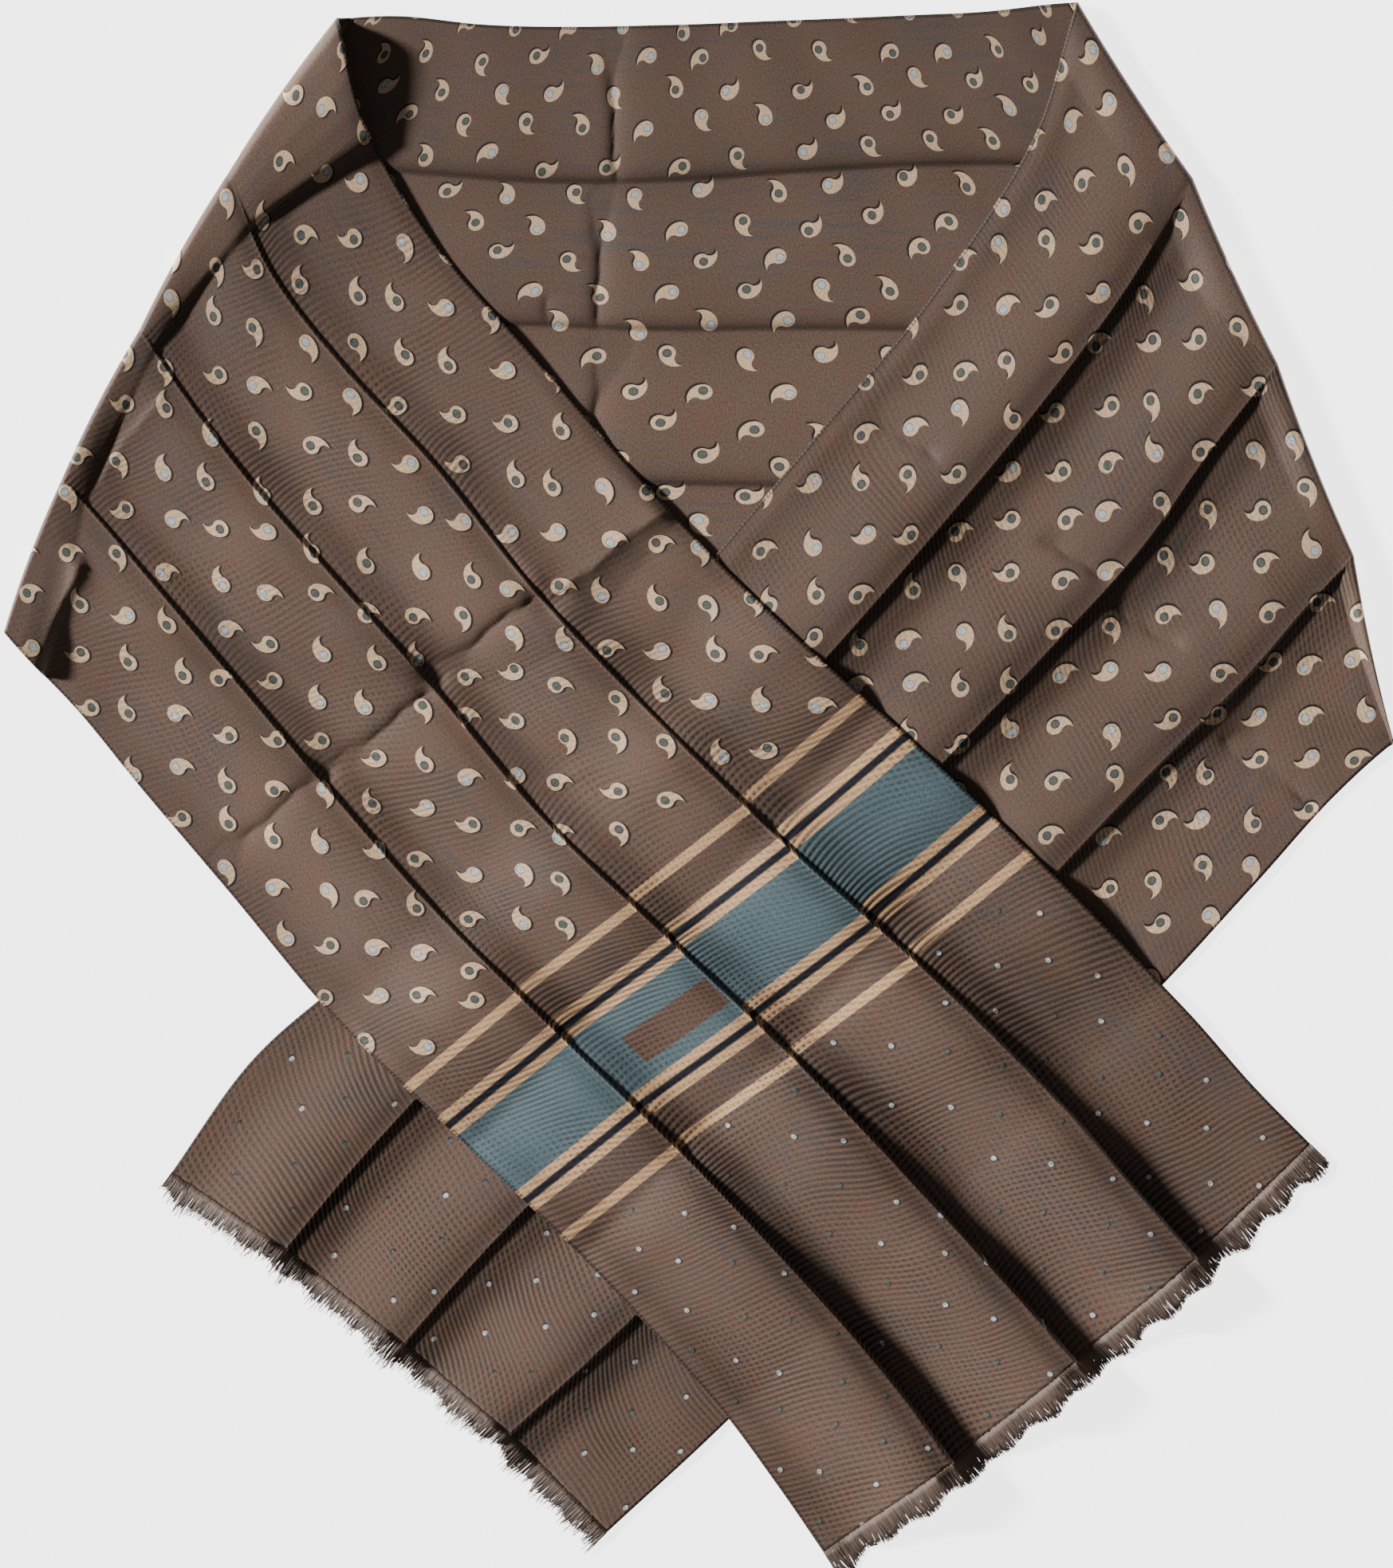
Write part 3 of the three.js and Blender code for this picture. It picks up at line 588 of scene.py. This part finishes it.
# ---------------------------------------------------------------------------------------------
# Under stretch: the band turns over in the right-hand fold and runs down across the front, 0.63 m
# long. Its pleats lie like roof tiles, each crest over the next one's foot.
# ---------------------------------------------------------------------------------------------
UNDER = [
    (0, 276.5, 200, -66.9, -196, -97, 98, 187, -20, -1.2, 4.3),
    (50, 245, 159.5, -60, -170, -85, 88, 165.5, 0, 0, 5.5),
    (110, 210, 110.5, -52, -157, -82, 79, 149.8, 0, 0, 6.3),
    (180, 163.5, 59.5, -46.5, -151, -77.5, 75.5, 148.5, 0, 0, 6.4),
    (260, 108.5, 1, -44, -146, -74.5, 75, 149, 0, 0, 5.7),
    (340, 54.5, -58, -43, -142, -75, 74, 145, 0, 0, 4.6),
    (420, -0.5, -116, -42.5, -139.5, -74.5, 74, 143, 0, 0, 4),
    (500, -55, -174.5, -42.5, -137, -74.5, 73.5, 141, 0, 0, 5),
    (570, -103.5, -225, -41, -143, -73, 72, 139, 0, 0, 5.8),
    (626, -140, -267, -39.5, -137, -72, 66, 132, -8, 0, 5.8),
]
UNDER_LENGTH = 626
PLEAT_FOOT = 1.4 / 75       # each crest turns down over this share of the next pleat
EDGE_SHARE = 0.12           # the last pleat ends at the hem, and rises by this share only
CREST_DIP = 0.14            # a crest is lower than the shoulder before it by this share
ROLL_LEAN = 0.6             # the upper half of a fold is this much narrower than a half circle
HEM_DROP = 0.8              # how far a stretch's edge sinks towards the layer under it
DRAPE = 30                  # how far past the edge of the layer under it the cloth comes down
RIGHT_HOLD = [5, 5, 5, 5, 5]                # on each line, the roll keeps its height this far,
RIGHT_REACH = [22, 20, 20, 20, 22]          # has come down by here,
RIGHT_SHARP = [0.1, 0.1, 0.1, 0.1, 0.1]     # and goes over a sharp brink with this share of it
BRINK_AT = [0, 0.25, 0.5, 0.74, 0.78, 0.86, 0.92, 1]
BRINK_FALL = [0, 0.07, 0.23, 0.46, 0.54, 0.92, 1, 1]
UNDER_FEET = (0.42, 0.5)    # height of the slope at a crest's foot, as a share of the rise
FEET_AT = (0.74, 0.96)      # and the shares of a stretch's length where it has those heights
CREST_EDGE = ((0.35, 0.93), (0.62, 0.72), (0.8, 0.4), (0.92, 0.12))     # its way down: out, height
MEASURED = 250              # how far from its fold the print is measured on the cloth, mm
# Creases across the under stretch, with the same columns as the back stretch's.
UNDER_CREASES = [
    (169, -24, 0.0, 0.72, 6.0, 2.2, -1.5),
    (144, -32, 1.5, 2.0, 7.0, 2.4, -1.9),
    (139, -28, 2.05, 2.6, 7.0, 2.4, -1.6),
    (139, -20, 3.15, 4.0, 7.0, 2.6, -1.4),
    (372, -8, 0.1, 0.8, 6.0, 5.0, 0.5),
]


def climb(g, pleat):
    return smooth((g - 0.15) / 0.72) * np.where(pleat == 3, EDGE_SHARE, 1)


def front_pleat(g, pleat):
    """The rise of a pleat and its slight dip to the crest, and the soft slope at its foot."""
    rise = climb(g, pleat) * (1 - CREST_DIP * smooth((g - 0.86) / 0.14))
    return rise, np.where(pleat > 0, 1 - smooth(g / 0.3), 0)


def rest_on_back(x, y):
    past = locate(BACK, x, y)[3]
    return (CLOTH + BACK_RISE + LAYER_GAP) * (1 - smooth((past + 6) / (DRAPE + 6)))


def front_columns(per_pleat):
    """Columns of a front stretch: where across, and how much of the rise and of the foot's slope."""
    across, rises, slopes = [], [], []
    for pleat in range(4):
        foot = PLEAT_FOOT if pleat else 0
        g = spread_columns(per_pleat, 0.6)
        rise, slope = front_pleat(g, pleat)
        across.extend(pleat + foot + g * (1 - foot))
        rises.extend(rise)
        slopes.extend(slope)
        if pleat < 3:
            for step, drop in CREST_EDGE:
                across.append(pleat + 1 + PLEAT_FOOT * step)
                rises.append((1 - CREST_DIP) * drop)
                slopes.append(1 - drop)
    return np.array(across), np.array(rises), np.array(slopes)


def front_stretch(rows, radii, hold, reach, sharp, feet, rest, behind, detail, places, columns):
    """Grid of a stretch that comes out of a fold: round the roll first, then down the front."""
    across, rises, slopes = columns
    radius = along_line(radii, across)
    inset = radius * SLANT
    first = ROLL_LEAN * inset
    xs, ys, zs, along = [], [], [], []
    for angle in np.radians(np.arange(-90, 90, 10)):
        depth = inset * (1 - np.cos(angle)) * (1 if angle < 0 else ROLL_LEAN)
        x, y = behind(depth, across) if angle < 0 else place(rows, depth, across)
        xs.append(x)
        ys.append(y)
        zs.append(CLOTH / 2 + radius + radius * np.sin(angle))
        along.append(radius * (angle - math.pi / 2) + first)
    runs = np.concatenate([np.linspace(0, 1, 36)[:, None] * (places[0] - first) + first,
                           places[1:, None] + 0 * inset])
    wide = np.broadcast_to(across[None, :], runs.shape)
    x, y = place(rows, runs, wide)
    foot_share = np.interp(runs / rows[-1][0], FEET_AT, feet)
    lift = section_at(rows, runs)["rise"] * (rises + foot_share * slopes)
    level = rest(x, y)
    sunk = HEM_DROP * (1 - smooth(np.minimum(wide, 4 - wide) / 0.12)) * smooth(level / 3)
    flat = level + CLOTH / 2 + np.maximum(-0.1, lift + detail(runs, wide, x, y)) - sunk
    top = CLOTH / 2 + 2 * radius[None, :]
    holds, reaches = along_line(hold, across), along_line(reach, across)
    fall = np.clip((runs - holds) / (reaches - holds), 0, 1)
    brink = np.interp(fall, BRINK_AT, BRINK_FALL)
    z = mix(top, flat, mix(smooth(fall), brink, along_line(sharp, across)))
    xs, ys, zs = np.vstack(xs + [x]), np.vstack(ys + [y]), np.vstack(zs + [z])
    return xs, ys, zs, np.vstack(along + [runs])


def print_along(x, y, z, along):
    """Distance along the stretch as the print has it: measured on the cloth itself near the fold."""
    step = np.sqrt(np.diff(x, axis=0) ** 2 + np.diff(y, axis=0) ** 2 + np.diff(z, axis=0) ** 2)
    run = np.vstack([np.zeros(x.shape[1]), np.cumsum(step, axis=0)])
    last = int(np.sum(along[:, 0] < MEASURED))
    return np.where(np.arange(len(along))[:, None] < last, along[last] - run[last] + run, along)


def behind_right(depth, across):
    """Plan point of the roll's lower half, which carries on from the back stretch."""
    pace = pace_at(BACK, np.full(across.shape, BACK_LENGTH - 1.0), across)
    return place(BACK, BACK_LENGTH - depth / pace, across)


# The sections of the stretch that lies on this one, which its small creases keep clear of.
OVER = [
    (0, -265, 216, 61.5, -157, -80, 85, 175.5, -12, 1.5, 3),
    (40, -242.5, 182.5, 58, -145, -72.5, 73, 156, -3, 0, 4),
    (90, -212.5, 143, 53, -136, -68, 71, 145, 0, 0, 5),
    (150, -173, 98, 48, -135.8, -68, 71.5, 142.5, 0, 0, 5.5),
    (220, -125.5, 45, 45, -137, -69.5, 67, 141, 0, 0, 6),
    (300, -74, -16, 43.5, -137, -67.5, 71.5, 146, 0, 0, 6),
    (390, -10, -77.5, 42.5, -137.5, -69, 71, 149, 0, 0, 7),
    (480, 54.5, -139.5, 41.5, -138, -69.5, 74, 150, 0, 0, 9.5),
    (570, 116.5, -205, 40, -140, -70, 77, 152, 0, 0, 13),
    (620, 150.5, -242, 40, -145, -72, 75.5, 151, 2, 0, 13.5),
    (665, 180.5, -276, 40, -150, -76, 75.5, 153, 7, 0, 13.5),
]


def under_detail(at, across, x, y):
    """Small creases of the under stretch, which die away where the other one presses on it."""
    _, _, short, past = locate(OVER, x, y)
    free = smooth((np.maximum(short, past) - 2) / 14)
    return free * (ripple(at, across, 7, 0.6) + creases_at(UNDER_CREASES, at, across))


columns = front_columns(26)
places = packed_rows(42, UNDER_LENGTH - 0.3, 262, 120, 172)
x, y, z, along = front_stretch(
    UNDER, RIGHT_INSET, RIGHT_HOLD, RIGHT_REACH, RIGHT_SHARP, UNDER_FEET, rest_on_back, behind_right,
    under_detail, places, columns)
across = np.broadcast_to(columns[0][None, :], x.shape)
printed = BACK_LENGTH + print_along(x, y, z, along)
under = cloth_piece("under_silk", x, y, z, printed, across * PLEAT_CUT, across)
under.data.materials.append(silk.material)
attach(under, "root")
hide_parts("under_stretch")

# ---------------------------------------------------------------------------------------------
# Over stretch: from the left-hand fold down across the front, on top of both others, 0.67 m long.
# It carries the tan, navy and blue bands, and it steps down past the ridges that it lies on.
# ---------------------------------------------------------------------------------------------
OVER_LENGTH = 665
LEFT_HOLD = [24, 6, 2, 4, 10]               # the left-hand roll's, as for the right-hand one
LEFT_REACH = [60, 21, 14, 25, 55]
LEFT_SHARP = [1.0, 0.5, 1.0, 1.0, 1.0]
OVER_FEET = (0.45, 0.1)                     # and its crests' feet
BAND_SKEW = [(0, 4), (2.5, 10), (6.5, 12.5), (8.5, 11)]   # the bands run askew over each pleat
OVER_CREASES = [
    (203, 7, 0.0, 1.0, 3.0, 9.0, -1.4),
    (211, 9, 1.0, 2.0, 2.6, 9.0, -1.8),
    (214, 9, 2.0, 3.0, 2.4, 9.0, -1.9),
    (228, 9, 3.0, 4.0, 30.0, 9.0, 3.8),
    (45, -10, -0.2, 0.75, 25.0, 7.0, 4.0),
    (288, 30, 2.1, 2.5, 2.5, 2.5, 0.6),
    (20, 10, 1.15, 1.9, 1.5, 8.0, 0.9),
]
PITS = [               # hollows beside the crests: along, across, reach of each, depth
    (228, 3.07, 8, 0.10, 3.0),
    (214, 2.07, 8, 0.09, 2.6),
    (209, 1.06, 7, 0.08, 1.8),
    (515, 3.45, 35, 0.25, 1.6),
    (530, 2.4, 35, 0.22, 1.2),
]


def ridge(across):
    """The under stretch's pleats as the cloth on top follows them: it hangs on from each crest."""
    pleat = np.clip(np.floor(across), 0, 3)
    g = across - pleat
    up = climb(g + 0.07, pleat)
    down = 1 - smooth((g - 0.08) / np.where(pleat == 3, 1.2, 0.85))
    return np.where(pleat > 0, np.maximum(up, down), up)


def rest_on_both(x, y):
    back_level = rest_on_back(x, y)
    at, across, short, past = locate(UNDER, x, y)
    level = back_level + CLOTH + LAYER_GAP + section_at(UNDER, at)["rise"] * ridge(np.clip(across, 0, 4))
    return np.maximum(back_level, level * (1 - smooth((np.maximum(short, past) - 4) / (2 * DRAPE))))


def behind_left(depth, across):
    return place(BACK, depth / pace_at(BACK, np.full(across.shape, 1.0), 4 - across), 4 - across)


def over_detail(at, across, x, y):
    total = ripple(at, across, 12, 0.6) + creases_at(OVER_CREASES, at, across)
    for pit_at, pit_across, long, wide, depth in PITS:
        far = ((at - pit_at) / long) ** 2 + ((across - pit_across) / wide) ** 2
        total = total - depth * np.exp(-far)
    return total


places = packed_rows(54, OVER_LENGTH - 0.3, 276, 202, 242)
x, y, z, along = front_stretch(
    OVER, LEFT_INSET, LEFT_HOLD, LEFT_REACH, LEFT_SHARP, OVER_FEET, rest_on_both, behind_left,
    over_detail, places, columns)
across = np.broadcast_to(columns[0][None, :], x.shape)
starts = [pleat + (PLEAT_FOOT if pleat else 0) for pleat in range(4)]
knots = [across_at for pleat in range(4) for across_at in (starts[pleat], pleat + 1)]
skew = np.interp(across, knots, [shift for pair in BAND_SKEW for shift in pair])
printed = skew * smooth(along / 200) - print_along(x, y, z, along)
over = cloth_piece("over_silk", x, y, z, printed, (4 - across) * PLEAT_CUT, across)
over.data.materials.append(silk.material)
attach(over, "root")
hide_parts("over_stretch")

# ---------------------------------------------------------------------------------------------
# Fringes: at each end the last weft threads are drawn out, and the warp threads stand free as a
# short, fine, uneven fringe, 5 to 18 mm long.
# ---------------------------------------------------------------------------------------------
THREAD_WIDE = 0.36
THREAD_THICK = 0.16
THREAD_TAPER = 0.35     # share of its size that a thread loses by its tip
THREAD_STEPS = 4
THREAD_DARK = (0.052, 0.034, 0.027, 1)
THREAD_PALE = (0.235, 0.157, 0.119, 1)
threads = Weave("fringe_thread")
luck, _, _ = threads.split(threads.uv("weave"))
fibre = threads.noise(threads.pair(luck, 0.5), 900.0, 2.0)
threads.put(threads.shader.inputs["Base Color"],
            threads.blend(threads.limit(fibre, 0.35, 0.7), THREAD_DARK, THREAD_PALE))
threads.shader.inputs["Roughness"].default_value = 0.6


def fringe(name, rows, rest, detail, feet, length, seed, count, long_share):
    """Loose warp threads past the end of a stretch, as one mesh of flat, four-sided, tapering tubes."""
    rng = np.random.default_rng(seed)
    across = 4 * (np.arange(count) + rng.uniform(0.1, 0.9, count)) / count
    pleat = np.minimum(3, across.astype(int))
    foot = np.where(pleat > 0, PLEAT_FOOT, 0)
    rise, slope = front_pleat(np.clip((across - pleat - foot) / (1 - foot), 0, 1), pleat)
    end = rows[-1][0]
    tucked = rng.uniform(0.3, 1.4, count)
    px, py = place(rows, end - tucked, across)
    qx, qy = place(rows, end, across)
    height = rest(qx, qy) + detail(np.full(count, end - 1.0), across, qx, qy)
    height += rows[-1][-1] * (rise + feet[1] * slope) + (CLOTH + SILK) / 2 + 0.15

    def gathered(rate):
        """A smooth random wave along the fringe, which gathers its threads into loose locks."""
        return sum(np.sin(rng.uniform(0.4, 1.3) * rate * across + rng.uniform(0, 6.28)) for _ in range(5)) / 5

    heading = np.arctan2(qy - py, qx - px) + 0.05 * gathered(60) + rng.normal(0, 0.03, count)
    curl = 0.12 * gathered(60) + rng.normal(0, 0.035, count)
    reach = length * (1 + 0.3 * gathered(18)) * rng.uniform(0.8, 1, count)
    reach *= np.where(rng.random(count) < long_share, rng.uniform(1.1, 1.5, count), 1)
    droop = np.minimum(height - 0.5, 0.7 + 0.5 * gathered(45) + rng.uniform(0, 0.5, count))
    tint = rng.random(count)
    steps = THREAD_STEPS
    points = np.zeros((count, steps + 1, 4, 3))
    for k in range(steps + 1):
        t = k / steps
        bend = heading + curl * t * t
        wide, thick = THREAD_WIDE * (1 - THREAD_TAPER * t), THREAD_THICK * (1 - THREAD_TAPER * t)
        for m in range(4):
            corner = math.pi / 2 * m + math.pi / 4
            side = wide * math.cos(corner)
            points[:, k, m, 0] = px + np.cos(bend) * (reach + tucked) * t - np.sin(bend) * side + SHIFT[0]
            points[:, k, m, 1] = py + np.sin(bend) * (reach + tucked) * t + np.cos(bend) * side + SHIFT[1]
            points[:, k, m, 2] = height - droop * t * t + thick * math.sin(corner)
    faces = [(4 * k + m, 4 * k + (m + 1) % 4, 4 * k + 4 + (m + 1) % 4, 4 * k + 4 + m)
             for k in range(steps) for m in range(4)]
    faces += [(3, 2, 1, 0), (4 * steps, 4 * steps + 1, 4 * steps + 2, 4 * steps + 3)]
    faces = np.array(faces)[None] + np.arange(count)[:, None, None] * 4 * (steps + 1)
    mesh = bpy.data.meshes.new(name)
    mesh.from_pydata((points * MM).reshape(-1, 3).tolist(), [], faces.reshape(-1, 4).tolist())
    layer = mesh.uv_layers.new(name="weave")
    values = np.zeros((count, faces.shape[1] * 4, 2), np.float32)
    values[:, :, 0] = tint[:, None]
    layer.data.foreach_set("uv", values.ravel())
    mesh.shade_smooth()
    piece = bpy.data.objects.new(name, mesh)
    bpy.context.scene.collection.objects.link(piece)
    piece.data.materials.append(threads.material)
    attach(piece, "root")
    return piece


under_fringe = fringe("under_threads", UNDER, rest_on_back, under_detail, UNDER_FEET, 9.5, 5, 1900, 0.25)
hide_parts("under_fringe")
over_fringe = fringe("over_threads", OVER, rest_on_both, over_detail, OVER_FEET, 12.0, 6, 2600, 0.0)
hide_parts("over_fringe")

# ---------------------------------------------------------------------------------------------
# The surface that the shawl lies on, the light from the left, and the camera straight above.
# ---------------------------------------------------------------------------------------------
FRAME_HEIGHT = 747.46 * MM     # what the camera takes in, from top to foot
LENS = 200
SENSOR = 36
SUN_STRENGTH = 7.7
SUN_WIDTH = 7                  # how wide the light's source looks, degrees, for soft shadows
SUN_TILT = (-16.6, -67)        # low, from the left and a little from the back
FLOOR_GLOW = 3.2
SKY_STRENGTH = 0.09

bpy.ops.mesh.primitive_plane_add(size=6, location=(0, 0, -0.0002))
floor = bpy.context.active_object
floor.name = "floor"
paper = Weave("floor_paper")
paper.shader.inputs["Base Color"].default_value = (0.9, 0.9, 0.9, 1)
paper.shader.inputs["Roughness"].default_value = 0.9
paper.shader.inputs["Emission Color"].default_value = (1, 1, 1, 1)
paper.shader.inputs["Emission Strength"].default_value = FLOOR_GLOW
floor.data.materials.append(paper.material)

bpy.ops.object.light_add(type="SUN", location=(-2, 0.5, 1))
key = bpy.context.active_object
key.data.energy = SUN_STRENGTH
key.data.angle = math.radians(SUN_WIDTH)
key.rotation_euler = (math.radians(SUN_TILT[0]), math.radians(SUN_TILT[1]), 0)

world = bpy.data.worlds.new("studio")
bpy.context.scene.world = world
world.use_nodes = True
world.node_tree.nodes["Background"].inputs["Color"].default_value = (1, 1, 1, 1)
world.node_tree.nodes["Background"].inputs["Strength"].default_value = SKY_STRENGTH

height = FRAME_HEIGHT * LENS / SENSOR
bpy.ops.object.camera_add(location=(SHIFT[0] * MM, SHIFT[1] * MM, height), rotation=(0, 0, 0))
camera = bpy.context.active_object
camera.data.lens = LENS
camera.data.clip_end = 50
bpy.context.scene.camera = camera
